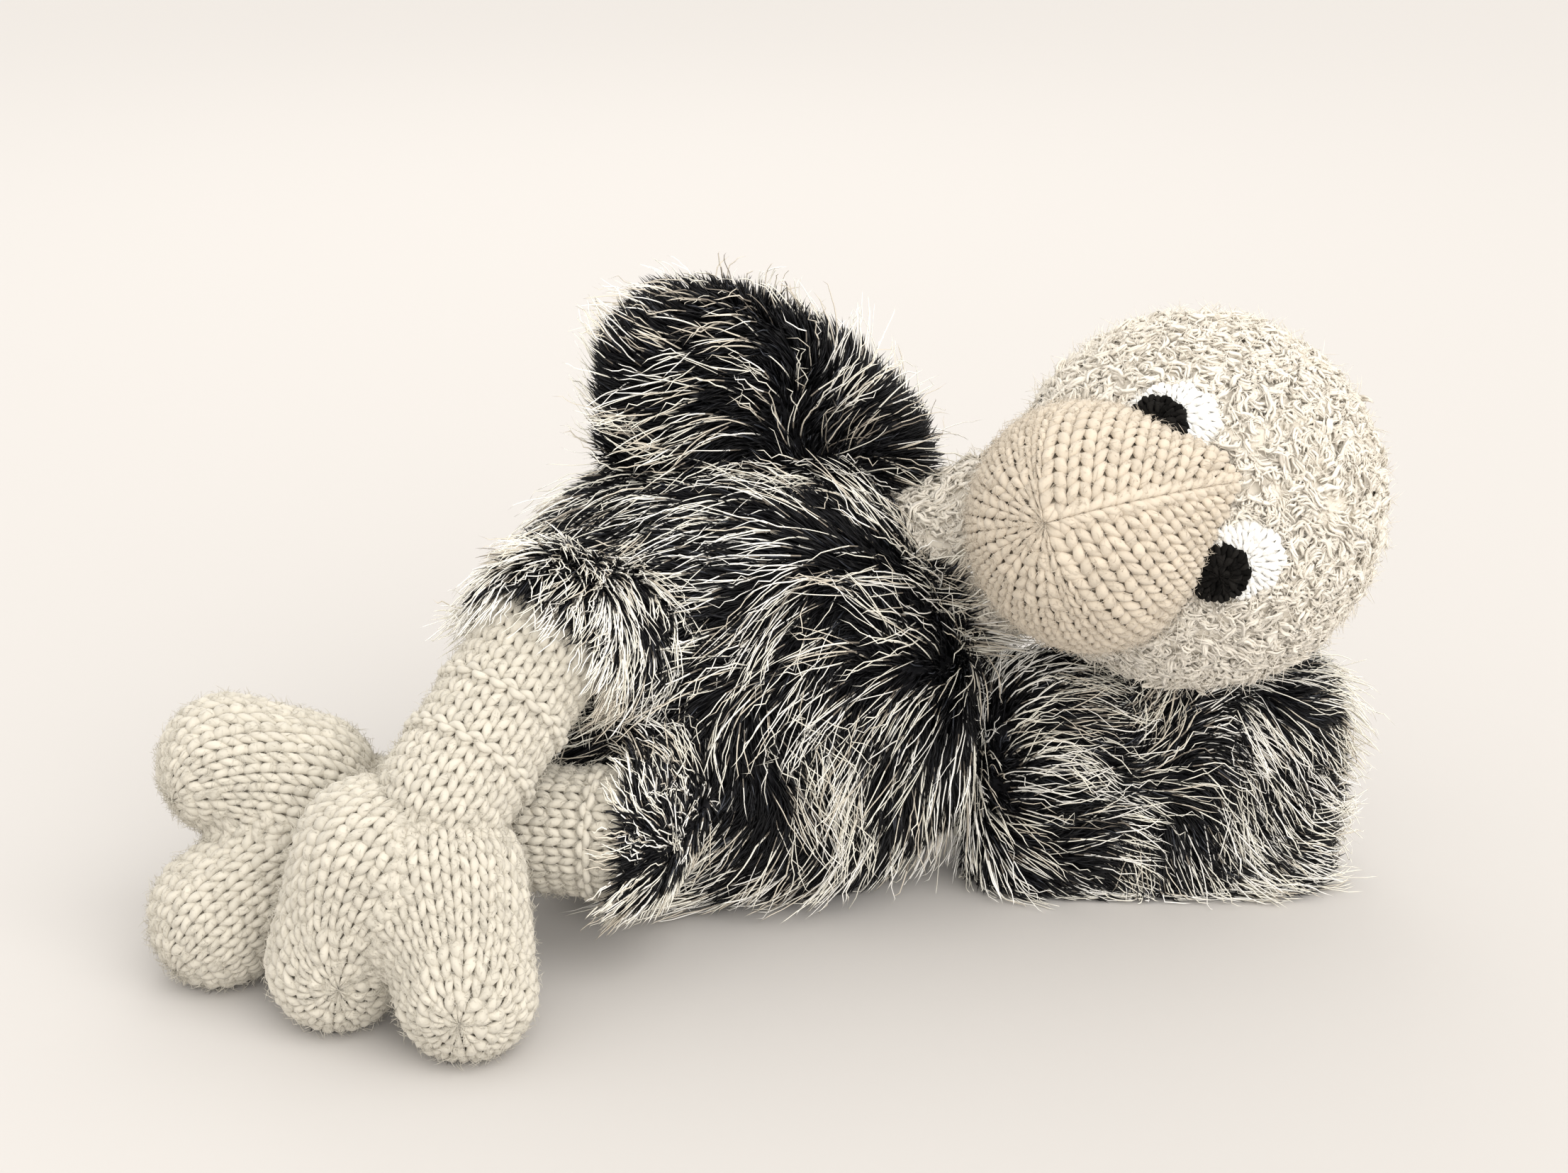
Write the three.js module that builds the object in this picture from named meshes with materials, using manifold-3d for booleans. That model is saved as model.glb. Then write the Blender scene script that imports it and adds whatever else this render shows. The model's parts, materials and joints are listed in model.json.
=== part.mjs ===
// A hand-knitted stuffed ostrich that lies on its left side on a flat surface.
// Millimetres, +Z up. The bird's head end points to +X and its chest to -Y, so its own left side is down.
// Every knitted cover is a shell round its own stuffing, and each limb is a rounded tube whose ball-shaped
// end sits in a hollow of its neighbour, so that the limb can swing about the ball's centre.
// The layout frame has X = Y = 0 under the middle of the body; the whole group is then moved so that its
// origin is the middle of its footprint on the floor.
import * as THREE from 'three';
import { mergeVertices } from 'three/addons/utils/BufferGeometryUtils.js';
import Module from 'manifold-3d';

const wasm = await Module();
wasm.setup();

// ---- driving dimensions ----
const GAP = 0.35; // air between touching pieces
const FUR_KNIT = 2.6; // thickness of the eyelash-yarn covers' ground
const PLAIN_KNIT = 2.4; // thickness of the stocking-stitch covers
const BALL_PLAY = 0.8; // room round a limb's ball end for its swing
const HEAD_PLAY = 1.3; // room between the turning head and the neck's hollow end
const AROUND = 20; // facets round a large piece
const AROUND_LIMB = 12; // facets round a limb or toe
const STEP_RINGS = 4; // facets from the pole to the equator of a rounded end
const BALL_RINGS = 0.6; // rings from pole to pole of a ball, for each facet round it
const SEAM_REACH = 30; // how far past a limb's root its sewn opening is cut

const BODY = { at: [0, 0, 51.5], half: [61, 46, 54], squareness: 2.4 };
const HEAD = { at: [114, -8, 101.8], radius: 45.5 };
const NECK = { base: [52, 0, 84], radius: 20.5, swing: 20, bore: 9 };
const BEAK = { towards: [-0.62, -0.77, 0.13], reach: 46, halfLength: 31, halfWidth: 29 };
const EYE_DISC = { thickness: 1.8, whiteHalf: [11.2, 9.4], pupilHalf: [7.1, 6.8], reach: 20 };
const EYES = {
  right: { white: [-0.249, -0.665, 0.705], pupil: [-0.335, -0.665, 0.668] },
  left: { white: [0.091, -0.996, 0.003], pupil: [-0.02, -0.999, -0.04] },
};
const WINGS = {
  right: {
    corners: [[45, 105], [42, 116], [27, 133], [0, 147], [-19, 146], [-29, 137], [-29, 108], [-20, 104]],
    depth: 16,
    middleY: 6,
    bevel: 5,
    taper: 1.25, // how much further than the knit's thickness the outline's corners move in
    seam: { from: [51.03, 6, 103.7], to: [19.43, 6, 118.75], radius: 3 },
  },
  left: {
    root: [77, -8],
    tip: [136, -8],
    rootRadius: 14,
    tipRadius: 13,
    height: 54,
    bevel: 6,
    seam: { from: [52, -8, 26], to: [77, -8, 26] },
  },
};
const LEGS = {
  right: {
    radius: 15.4,
    hip: [-43, -49, 83],
    ankle: [-66.5, -81, 53],
    ankleAxis: [-0.806, 0.592, 0],
    ankleSwing: 40,
    insteps: [[-83, -85, 42], [-65, -88, 37]],
    instepRadius: 17,
    toes: [[-92, -87, 15.2], [-60.5, -101, 15.2]],
    toeRadius: 15.6,
  },
  left: {
    radius: 14.8,
    hip: [-28, -59, 34.5],
    ankle: [-81, -50, 35],
    ankleAxis: [0, 0, -1],
    ankleSwing: 25,
    insteps: [[-103, -54, 27], [-103, -49, 43]],
    instepRadius: 16.5,
    toes: [[-123, -65, 15.8], [-122, -48, 48]],
    toeRadius: 16.4,
  },
};
const SEAM_BORE = 7; // radius of the hole left in a limb's cover where it is sewn on
const ANKLE_MOUTH = 60; // how far the leg's swing space is followed out of the foot
const SWING_SPARE = 1; // degrees of room past each end of an ankle's swing

const COLOURS = {
  fur: [0x1d1c20, 0.85],
  fleece: [0xd4cdc1, 0.95],
  beakYarn: [0xb9aa97, 0.9],
  legYarn: [0xcac0b1, 0.9],
  white: [0xf6f3ec, 0.9],
  black: [0x141414, 0.9],
  stuffing: [0xf2f2f0, 1.0],
};

// ---- vectors and solids ----
const vec = (p) => new THREE.Vector3(...p);
const unit = (p) => vec(p).normalize();

// A closed geometry as a manifold-3d solid, without the slivers that a rounded pole leaves.
function solidOf(geometry) {
  const bare = new THREE.BufferGeometry();
  bare.setAttribute('position', geometry.getAttribute('position'));
  if (geometry.index) bare.setIndex(geometry.index);
  const merged = mergeVertices(bare, 1e-4);
  const corners = merged.index.array;
  const kept = [];
  for (let i = 0; i < corners.length; i += 3) {
    const [a, b, c] = corners.slice(i, i + 3);
    if (a !== b && b !== c && c !== a) kept.push(a, b, c);
  }
  return new wasm.Manifold(new wasm.Mesh({
    numProp: 3,
    vertProperties: new Float32Array(merged.attributes.position.array),
    triVerts: new Uint32Array(kept),
  }));
}

// A geometry made along +Y, turned so that +Y lies along a direction and its origin at a point.
function placed(geometry, at, direction = new THREE.Vector3(0, 1, 0)) {
  const turn = new THREE.Quaternion().setFromUnitVectors(new THREE.Vector3(0, 1, 0), direction);
  return solidOf(geometry.applyQuaternion(turn).translate(at.x, at.y, at.z));
}

// An ellipsoid, or with a squareness above 2 one whose shoulders are fuller.
function ellipsoid(at, half, around = AROUND, squareness = 2) {
  const ball = new THREE.SphereGeometry(1, around, Math.round(around * BALL_RINGS));
  const spots = ball.getAttribute('position');
  for (let i = 0; i < spots.count; i += 1) {
    const spot = new THREE.Vector3().fromBufferAttribute(spots, i);
    const size = spot.toArray().reduce((sum, c) => sum + Math.abs(c) ** squareness, 0) ** (1 / squareness);
    spots.setXYZ(i, ...spot.divideScalar(size));
  }
  return solidOf(ball.scale(...half).translate(...at));
}

const sphere = (at, radius, around = AROUND) => ellipsoid(at, [radius, radius, radius], around);

function arc(radius, middle, from, to) {
  const points = [];
  for (let i = 0; i <= STEP_RINGS; i += 1) {
    const angle = from + ((to - from) * i) / STEP_RINGS;
    const x = i === 0 && from === -Math.PI / 2 ? 0 : radius * Math.cos(angle);
    points.push(new THREE.Vector2(Math.abs(x) < 1e-6 ? 0 : x, middle + radius * Math.sin(angle)));
  }
  return points;
}

// A tube with a half ball at each end, from one ball's centre to the other's.
function roundedTube(from, to, radiusFrom, radiusTo = radiusFrom, around = AROUND_LIMB) {
  const start = vec(from);
  const along = vec(to).sub(start);
  const profile = [
    ...arc(radiusFrom, 0, -Math.PI / 2, 0),
    ...arc(radiusTo, along.length(), 0, Math.PI / 2),
  ];
  return placed(new THREE.LatheGeometry(profile, around), start, along.clone().normalize());
}

function rod(from, to, radius, around = AROUND_LIMB) {
  const start = vec(from);
  const along = vec(to).sub(start);
  const length = along.length();
  const geometry = new THREE.CylinderGeometry(radius, radius, length, around).translate(0, length / 2, 0);
  return placed(geometry, start, along.normalize());
}

// Everything on the far side of a plane, as a block large enough for any piece.
function beyond(point, direction) {
  const size = 400;
  return placed(new THREE.BoxGeometry(size, size, size).translate(0, size / 2, 0), vec(point), direction);
}

const above = (height) => beyond([0, 0, height], new THREE.Vector3(0, 0, 1));
const joined = (solids) => solids.reduce((whole, solid) => whole.add(solid));

function along(from, to, distance) {
  const start = vec(from);
  return start.add(vec(to).sub(start.clone()).normalize().multiplyScalar(distance)).toArray();
}

// ---- the group ----
const ostrich = new THREE.Group();

function addPiece(name, solid, [color, roughness]) {
  const { vertProperties, triVerts, numProp } = solid.getMesh();
  const positions = [];
  for (let i = 0; i < vertProperties.length; i += numProp) {
    positions.push(vertProperties[i], vertProperties[i + 1], vertProperties[i + 2]);
  }
  const geometry = new THREE.BufferGeometry();
  geometry.setAttribute('position', new THREE.Float32BufferAttribute(positions, 3));
  geometry.setIndex(Array.from(triVerts));
  geometry.computeVertexNormals();
  const mesh = new THREE.Mesh(geometry, new THREE.MeshStandardMaterial({ color, roughness, metalness: 0 }));
  mesh.name = name;
  ostrich.add(mesh);
}

// A knitted cover and its stuffing. shape(inset) is the outer solid shrunk by inset all over, opening is
// the hole where the cover is sewn to its neighbour, and both pieces stay clear of everything in cuts(inset).
function addStuffed(name, side, knit, colour, shape, opening, cuts = () => []) {
  const trimmed = (inset) => cuts(inset).reduce((solid, cut) => solid.subtract(cut), shape(inset));
  addPiece(`${name}_cover${side}`, trimmed(0).subtract(trimmed(knit)).subtract(opening), colour);
  addPiece(`${name}_filling${side}`, trimmed(knit + GAP), COLOURS.stuffing);
}

// The space that a ball-ended tube sweeps as it swings about the ball's centre: a ball opening into a cone.
function socket(centre, towards, radius, swing, mouth) {
  const flare = THREE.MathUtils.degToRad(swing);
  const bowl = arc(radius, 0, -Math.PI / 2, -flare);
  const rim = bowl[STEP_RINGS];
  const mouthRadius = rim.x + (mouth - rim.y) * Math.tan(flare);
  const profile = [...bowl, new THREE.Vector2(mouthRadius, mouth), new THREE.Vector2(0, mouth)];
  return placed(new THREE.LatheGeometry(profile, AROUND), vec(centre), towards);
}

function neckSocket(extra) {
  const towardsHead = vec(HEAD.at).sub(vec(NECK.base)).normalize();
  return socket(NECK.base, towardsHead, NECK.radius + extra, NECK.swing, HEAD.radius);
}

// ---- body ----
function bodyShape(inset) {
  const half = BODY.half.map((size) => size - inset);
  return ellipsoid(BODY.at, half, AROUND, BODY.squareness).intersect(above(inset));
}

const neckBore = rod(along(NECK.base, HEAD.at, -SEAM_REACH), HEAD.at, NECK.bore);
const bodyCuts = (inset) => [neckSocket(BALL_PLAY + inset)];
addStuffed('body', '', FUR_KNIT, COLOURS.fur, bodyShape, neckBore, bodyCuts);

// ---- neck: a ball end at the body, the other end hollowed to fit round the head ----
addStuffed(
  'neck',
  '',
  PLAIN_KNIT,
  COLOURS.fleece,
  (inset) => roundedTube(NECK.base, HEAD.at, NECK.radius - inset, NECK.radius - inset, AROUND),
  joined([
    rod(along(NECK.base, HEAD.at, -SEAM_REACH), NECK.base, NECK.bore),
    rod(NECK.base, HEAD.at, NECK.radius - PLAIN_KNIT, AROUND),
  ]),
  (inset) => [sphere(HEAD.at, HEAD.radius + HEAD_PLAY + (inset > PLAIN_KNIT ? GAP : 0))],
);

// ---- head, beak and eyes ----
const headBall = (inset) => sphere(HEAD.at, HEAD.radius - inset);
addStuffed('head', '', PLAIN_KNIT, COLOURS.fleece, headBall, rod(HEAD.at, NECK.base, NECK.bore));

const beakAxis = unit(BEAK.towards);
function beakShape(inset) {
  const egg = new THREE.SphereGeometry(1, AROUND, Math.round(AROUND * BALL_RINGS));
  egg.scale(BEAK.halfWidth - inset, BEAK.halfLength - inset, BEAK.halfWidth - inset);
  const middle = vec(HEAD.at).addScaledVector(beakAxis, BEAK.reach);
  return placed(egg, middle, beakAxis);
}

const eyeLayer = (layer) => GAP + layer * (EYE_DISC.thickness + GAP);

// An oval disc that lies on the head: the slice of a spherical layer inside an oval prism.
function eyeDisc(towards, [halfAcross, halfUp], layer) {
  const inner = HEAD.radius + eyeLayer(layer);
  const outerBall = sphere(HEAD.at, inner + EYE_DISC.thickness, 2 * AROUND);
  const shell = outerBall.subtract(sphere(HEAD.at, inner, 2 * AROUND));
  const prism = HEAD.radius + EYE_DISC.reach;
  const oval = new THREE.CylinderGeometry(1, 1, prism, AROUND_LIMB);
  oval.scale(halfAcross, 1, halfUp).translate(0, prism / 2, 0);
  return shell.intersect(placed(oval, vec(HEAD.at), unit(towards)));
}

const beakSpace = beakShape(-GAP);
const neckSpace = rod(HEAD.at, NECK.base, NECK.radius + BALL_PLAY, AROUND);
addStuffed(
  'beak',
  '',
  PLAIN_KNIT,
  COLOURS.beakYarn,
  beakShape,
  beakShape(PLAIN_KNIT).subtract(neckSpace),
  (inset) => [sphere(HEAD.at, HEAD.radius + GAP + (inset > PLAIN_KNIT ? GAP : 0)), neckSpace],
);

Object.entries(EYES).forEach(([side, { white, pupil }]) => {
  addPiece(`eye_white_${side}`, eyeDisc(white, EYE_DISC.whiteHalf, 0).subtract(beakSpace), COLOURS.white);
  addPiece(`eye_pupil_${side}`, eyeDisc(pupil, EYE_DISC.pupilHalf, 1).subtract(beakSpace), COLOURS.black);
});

// ---- wings ----
function rightWingShape(inset) {
  const { corners, depth, middleY, bevel, taper } = WINGS.right;
  const mean = (axis) => corners.reduce((sum, corner) => sum + corner[axis] / corners.length, 0);
  const middle = [mean(0), mean(1)];
  const outline = corners.map(([x, z]) => {
    const away = new THREE.Vector2(x - middle[0], z - middle[1]);
    return away.multiplyScalar(1 - (taper * inset) / away.length()).add(new THREE.Vector2(...middle));
  });
  const flap = new THREE.ExtrudeGeometry(new THREE.Shape(outline), {
    depth: depth - 2 * bevel - 2 * inset,
    bevelThickness: bevel,
    bevelSize: bevel,
    bevelOffset: -bevel,
    bevelSegments: 2,
  });
  flap.translate(0, 0, -(depth - 2 * bevel - 2 * inset) / 2).rotateX(Math.PI / 2).translate(0, middleY, 0);
  return solidOf(flap);
}

addStuffed(
  'wing',
  '_right',
  FUR_KNIT,
  COLOURS.fur,
  rightWingShape,
  rod(WINGS.right.seam.from, WINGS.right.seam.to, WINGS.right.seam.radius),
  (inset) => [bodyShape(-BALL_PLAY - inset), neckSocket(2 * BALL_PLAY + inset)],
);

function leftWingShape(inset) {
  const { root, tip, rootRadius, tipRadius, height, bevel } = WINGS.left;
  const plan = new THREE.Shape();
  plan.absarc(root[0], root[1], rootRadius - inset, Math.PI / 2, (3 * Math.PI) / 2);
  plan.absarc(tip[0], tip[1], tipRadius - inset, -Math.PI / 2, Math.PI / 2);
  const flap = new THREE.ExtrudeGeometry(plan, {
    depth: height - inset - bevel,
    curveSegments: AROUND_LIMB / 2,
    bevelThickness: bevel,
    bevelSize: bevel,
    bevelOffset: -bevel,
    bevelSegments: 2,
  });
  return solidOf(flap).intersect(above(inset));
}

addStuffed(
  'wing',
  '_left',
  FUR_KNIT,
  COLOURS.fur,
  leftWingShape,
  rod(WINGS.left.seam.from, WINGS.left.seam.to, SEAM_BORE),
);

// ---- legs and feet ----
Object.entries(LEGS).forEach(([side, leg]) => {
  const { radius, hip, ankle, insteps, instepRadius, toes, toeRadius } = leg;
  addStuffed(
    'leg',
    `_${side}`,
    PLAIN_KNIT,
    COLOURS.legYarn,
    (inset) => roundedTube(hip, ankle, radius - inset),
    rod(hip, along(hip, BODY.at, SEAM_REACH), SEAM_BORE),
  );

  // Seen from the foot, the leg swings from its rest direction backwards through the ankle's whole swing.
  const halfSwing = THREE.MathUtils.degToRad(leg.ankleSwing / 2);
  const towardsLeg = vec(hip).sub(vec(ankle)).normalize().applyAxisAngle(unit(leg.ankleAxis), -halfSwing);
  const toeTube = (i, inset) => roundedTube(insteps[i], toes[i], instepRadius - inset, toeRadius - inset);
  const flare = leg.ankleSwing / 2 + SWING_SPARE;
  const footShape = (inset) => toeTube(0, inset)
    .add(toeTube(1, inset))
    .intersect(above(inset))
    .subtract(socket(ankle, towardsLeg, radius + BALL_PLAY + inset, flare, ANKLE_MOUTH));
  const bores = joined(insteps.map((instep) => rod(ankle, along(ankle, instep, 2 * radius), SEAM_BORE)));
  addStuffed('foot', `_${side}`, PLAIN_KNIT, COLOURS.legYarn, footShape, bores);
});

// ---- origin: the middle of the footprint, on the floor ----
const box = new THREE.Box3().setFromObject(ostrich);
const middle = box.getCenter(new THREE.Vector3());
ostrich.position.set(-middle.x, -middle.y, -box.min.z);

export default ostrich;
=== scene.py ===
"""The looks of a hand-knitted stuffed ostrich that lies on its side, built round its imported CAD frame.

Shapes are worked out in millimetres in a layout frame whose X = Y = 0 is under the middle of the body, and
to_row() takes them to the frame's own metres.
"""
import json

import bmesh
import bpy
import numpy as np
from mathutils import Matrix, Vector
from numpy.linalg import norm


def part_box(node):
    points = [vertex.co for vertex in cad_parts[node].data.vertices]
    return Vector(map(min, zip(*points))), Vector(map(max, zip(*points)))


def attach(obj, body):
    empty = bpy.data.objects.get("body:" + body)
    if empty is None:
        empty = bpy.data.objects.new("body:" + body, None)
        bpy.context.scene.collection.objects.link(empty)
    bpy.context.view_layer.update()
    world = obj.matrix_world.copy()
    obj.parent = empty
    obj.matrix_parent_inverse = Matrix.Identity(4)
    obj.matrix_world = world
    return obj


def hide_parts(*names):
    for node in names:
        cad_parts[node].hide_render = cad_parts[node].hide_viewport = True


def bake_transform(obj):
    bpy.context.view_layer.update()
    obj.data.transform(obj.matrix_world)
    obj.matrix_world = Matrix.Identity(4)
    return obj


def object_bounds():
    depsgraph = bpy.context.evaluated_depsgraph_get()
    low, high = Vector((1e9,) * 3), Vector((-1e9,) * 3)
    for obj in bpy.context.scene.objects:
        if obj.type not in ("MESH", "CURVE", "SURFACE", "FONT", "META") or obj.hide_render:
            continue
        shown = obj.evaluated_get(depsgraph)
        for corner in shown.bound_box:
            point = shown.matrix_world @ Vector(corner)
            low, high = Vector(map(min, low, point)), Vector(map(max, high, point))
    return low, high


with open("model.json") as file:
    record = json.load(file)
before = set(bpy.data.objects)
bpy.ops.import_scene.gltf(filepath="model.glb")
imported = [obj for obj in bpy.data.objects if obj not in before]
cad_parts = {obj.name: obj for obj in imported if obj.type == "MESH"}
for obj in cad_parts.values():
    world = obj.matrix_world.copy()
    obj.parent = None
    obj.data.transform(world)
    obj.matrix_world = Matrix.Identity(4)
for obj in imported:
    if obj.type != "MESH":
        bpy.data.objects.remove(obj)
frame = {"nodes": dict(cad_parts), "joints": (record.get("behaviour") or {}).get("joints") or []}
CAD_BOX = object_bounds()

TAU = 2 * np.pi
JOINTS = {joint["name"]: joint for joint in frame["joints"]}
MOST_FACES = 190_000  # in one piece
LOWEST = 0.0002  # metres: where the floor stops a mesh


# ---- places
def middle(node):
    low, high = (np.array(corner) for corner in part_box(node))
    return (low + high) / 2


UNDER_BODY = middle("body_cover") * [1, 1, 0]


def to_row(mm):
    return np.asarray(mm, float) / 1000 + UNDER_BODY


def to_layout(metres):
    return (np.asarray(metres, float) - UNDER_BODY) * 1000


def unit(v):
    v = np.asarray(v, float)
    return v / np.maximum(norm(v, axis=-1, keepdims=True), 1e-9)


HEAD_AT = to_layout(middle("head_cover"))
HEAD_R = (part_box("head_cover")[1].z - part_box("head_cover")[0].z) * 500
NECK_AT = to_layout(JOINTS["neck_bend"]["pos_m"])
NECK_R = 20.5
BEAK_AXIS = unit([-0.62, -0.77, 0.13])
BEAK_LONG, BEAK_WIDE = 31, 29  # the half axes of its egg
BEAK_AT = HEAD_AT + BEAK_AXIS * 46
GATHER = np.array([71.9, -68.0, 116.0])  # where the beak's stitches are drawn together
APEX = unit([0.045, -0.894, 0.445])  # the beak's point between the eyes, seen from the head's centre
APEX_ACROSS = unit(APEX - (APEX @ BEAK_AXIS) * BEAK_AXIS)  # turns round the beak's axis are measured from it
BEAK_SIDE = np.cross(BEAK_AXIS, APEX_ACROSS)
BODY_CORE = np.array([0.0, 0.0, 58.0])
OVER_LEG = 1.7  # from a leg to the cap of fur over it
SWIRL = np.array([6.4, -46.0, 70.0])  # the whorl in the fur of the chest
FUR_BACK, FUR_TOP = to_layout(CAD_BOX[1])[1:] + 7  # strands past these lie flatter,
FLATTENED = 0.65  # by this share of what is past them
KNIT_ROW, KNIT_NARROWEST = 3.7, 3.3  # a row's height, and the width under which columns merge
CHAIN_WIDE = 4.4  # the chain of stitches along the beak's ridge

# cap: where the fur cap over the hip ends, in radii up the leg. coat: the lengths of its two coats.
# ridges: how far up the leg each purl ridge is. web: the share of the toes that the instep joins.
LEGS = {
    "right": dict(
        hip=[-43, -49, 83], radius=15.4, cap=-0.1, coat=(10.0, 21.0), ridges=(10, 27),
        web=0.3, instep_radius=17, toe_radius=15.6,
        insteps=[[-83, -85, 42], [-65, -88, 37]], toes=[[-92, -87, 15.2], [-60.5, -101, 15.2]],
        gathers=[[-89, -100, 18], [-60.7, -114, 16.2]]),
    "left": dict(
        hip=[-28, -59, 34.5], radius=14.8, cap=0.2, coat=(7.0, 14.0), ridges=(27, 50),
        web=0.15, instep_radius=16.5, toe_radius=16.4,
        insteps=[[-103, -54, 27], [-103, -49, 43]], toes=[[-123, -65, 15.8], [-122, -48, 48]],
        gathers=[[-131.3, -74, 7.1], [-130.8, -58, 43.8]]),
}
EYES = {  # directions from the head's centre
    "right": dict(white=[-0.242, -0.701, 0.667], black=[-0.314, -0.706, 0.617]),
    "left": dict(white=[0.091, -0.996, 0.003], black=[-0.02, -0.999, -0.04]),
}
WHITE_HALF, BLACK_HALF = (11.6, 9.6), (7.2, 6.9)  # half widths and heights
SCALLOPS = 9  # round an eye's edge


# ---- shared geometry
def ring_across(along, turns):
    """Directions at right angles to along, one for each turn."""
    first = unit(np.cross(along, [0, 0, 1]))
    return np.cos(turns)[:, None] * first + np.sin(turns)[:, None] * np.cross(along, first)


def full_turn(count):
    return np.arange(count) / count * TAU


def resampled(line, at, wanted):
    return np.stack([np.interp(wanted, at, line[:, axis]) for axis in range(3)], axis=1)


def grid_corners(columns, rows, around):
    """The four corners of each cell of a grid with rows points in each column."""
    i, k = np.meshgrid(np.arange(columns), np.arange(rows - 1), indexing="ij")
    j = (i + 1) % around
    return i * rows + k, j * rows + k, j * rows + k + 1, i * rows + k + 1


def walls(rings, sides):
    """The triangles between each ring of a tube and the next."""
    faces = []
    for start in range(0, (rings - 1) * sides, sides):
        for a in range(sides):
            b = (a + 1) % sides
            p, q, r, s = start + a, start + b, start + sides + b, start + sides + a
            faces += [(p, q, r), (p, r, s)]
    return faces


def repeated(faces, copies, points_each):
    """The faces of many copies of a shape, and the copy that each face is of."""
    every = (faces[None] + (np.arange(copies) * points_each)[:, None, None]).reshape(-1, 3)
    return every, np.repeat(np.arange(copies), len(faces))


def arrays_of(shape):
    """The points and triangles of a bmesh, which is freed."""
    shape.verts.index_update()
    points = np.array([v.co for v in shape.verts])
    faces = np.array([[v.index for v in f.verts] for f in shape.faces])
    shape.free()
    return points, faces


# ---- materials
def set_inputs(node, values):
    for name, value in values.items():
        node.inputs[name].default_value = value


def material(name, colour, roughness=0.95, grain=None, sheen=0.0):
    """A yarn: one colour, with a bump of fibres across it where grain gives its scale and depth."""
    made = bpy.data.materials.new(name)
    made.use_nodes = True
    shader = made.node_tree.nodes["Principled BSDF"]
    shine = 0.25 if roughness < 0.8 else 0.08  # fur shines, and the other yarns are dull
    set_inputs(shader, {"Base Color": (*colour, 1), "Roughness": roughness, "Specular IOR Level": shine,
                        "Sheen Weight": sheen, "Sheen Roughness": 0.6})
    if grain:
        scale, depth = grain
        bump = made.node_tree.nodes.new("ShaderNodeBump")
        set_inputs(bump, {"Strength": 0.6, "Distance": depth})
        add_noise(made, {"Scale": scale, "Detail": 4}, bump.inputs["Height"])
        made.node_tree.links.new(bump.outputs["Normal"], shader.inputs["Normal"])
    return made


def add_noise(made, values, into):
    """Feeds noise, fixed to the object, into a socket."""
    nodes, links = made.node_tree.nodes, made.node_tree.links
    place, noise = nodes.new("ShaderNodeTexCoord"), nodes.new("ShaderNodeTexNoise")
    set_inputs(noise, values)
    links.new(place.outputs["Object"], noise.inputs["Vector"])
    links.new(noise.outputs["Fac"], into)


def mottled(name, dark, light, scale, depth):
    """The ground under stitches, loops or fur: two shades of yarn in patches, with a bump."""
    made = material(name, light, grain=(scale, depth))
    nodes, links = made.node_tree.nodes, made.node_tree.links
    ramp = nodes.new("ShaderNodeValToRGB")
    for element, position, shade in zip(ramp.color_ramp.elements, (0.35, 0.65), (dark, light)):
        element.position, element.color = position, (*shade, 1)
    add_noise(made, {"Scale": scale * 0.5}, ramp.inputs["Fac"])
    links.new(ramp.outputs["Color"], nodes["Principled BSDF"].inputs["Base Color"])
    return made


def shades(name, colour, steps, **more):
    """Materials of one colour made darker and lighter by steps."""
    return [material(f"{name}_{i}", np.clip(np.array(colour) * step, 0, 1), **more)
            for i, step in enumerate(steps)]


YARN_GRAIN = (1400, 0.00025)  # scale to a metre, and depth in metres
LEG_YARN = shades("leg_yarn", (0.56, 0.525, 0.45), (0.92, 0.98, 1.0, 1.05), grain=YARN_GRAIN, sheen=0.2)
BEAK_YARN = shades("beak_yarn", (0.57, 0.50, 0.405), (0.92, 0.98, 1.0, 1.05), grain=YARN_GRAIN, sheen=0.2)
HEAD_YARN = shades("head_yarn", (0.775, 0.725, 0.64), (0.95, 0.98, 1.0, 1.02, 1.05), sheen=0.25)
WHITE_YARN = shades("white_yarn", (0.84, 0.83, 0.80), (0.94, 1.0, 1.04), grain=YARN_GRAIN)
BLACK_YARN = shades("black_yarn", (0.006, 0.0055, 0.005), (0.6, 1.0, 2.0), roughness=1.0, grain=YARN_GRAIN)
FUR_BLACK = [material(*made_of) for made_of in (
    ("fur_black", (0.004, 0.004, 0.005), 0.55),
    ("fur_coal", (0.010, 0.0105, 0.013), 0.5),
    # painted glint: a few bluish-grey strands among the black fur stand in for highlights
    ("fur_painted_glint", (0.05, 0.054, 0.066), 0.4),
)]
FUR_PALE = [material(*made_of) for made_of in (
    ("fur_root", (0.02, 0.02, 0.022), 0.5),
    ("fur_taupe", (0.24, 0.21, 0.175), 0.5),
    ("fur_sand", (0.70, 0.64, 0.54), 0.5),
    ("fur_ivory", (0.93, 0.90, 0.80), 0.45),
    ("fur_white", (0.97, 0.95, 0.90), 0.45),
)]
# painted shade: the leg and beak grounds are far darker than their yarns. This is partly the yarn's darker
# taupe deep between stitches and partly painted shade in the gutters between columns
LEG_SHADED_GROUND = mottled("leg_shaded_ground", (0.20, 0.178, 0.14), (0.28, 0.25, 0.20), 900, 0.0004)
BEAK_SHADED_GROUND = mottled("beak_shaded_ground", (0.18, 0.152, 0.115), (0.26, 0.225, 0.175), 900, 0.0004)
HEAD_GROUND = mottled("head_ground", (0.62, 0.575, 0.50), (0.74, 0.69, 0.605), 500, 0.0008)
FUR_GROUND = mottled("fur_ground", (0.006, 0.006, 0.007), (0.02, 0.02, 0.023), 500, 0.0008)
WHITE_GROUND = mottled("white_ground", (0.74, 0.73, 0.70), (0.82, 0.81, 0.78), 700, 0.0004)
BLACK_GROUND = mottled("black_ground", (0.004, 0.004, 0.004), (0.012, 0.012, 0.012), 700, 0.0004)


# ---- meshes
def linked(name, data):
    made = bpy.data.objects.new(name, data)
    bpy.context.scene.collection.objects.link(made)
    return made


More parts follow.
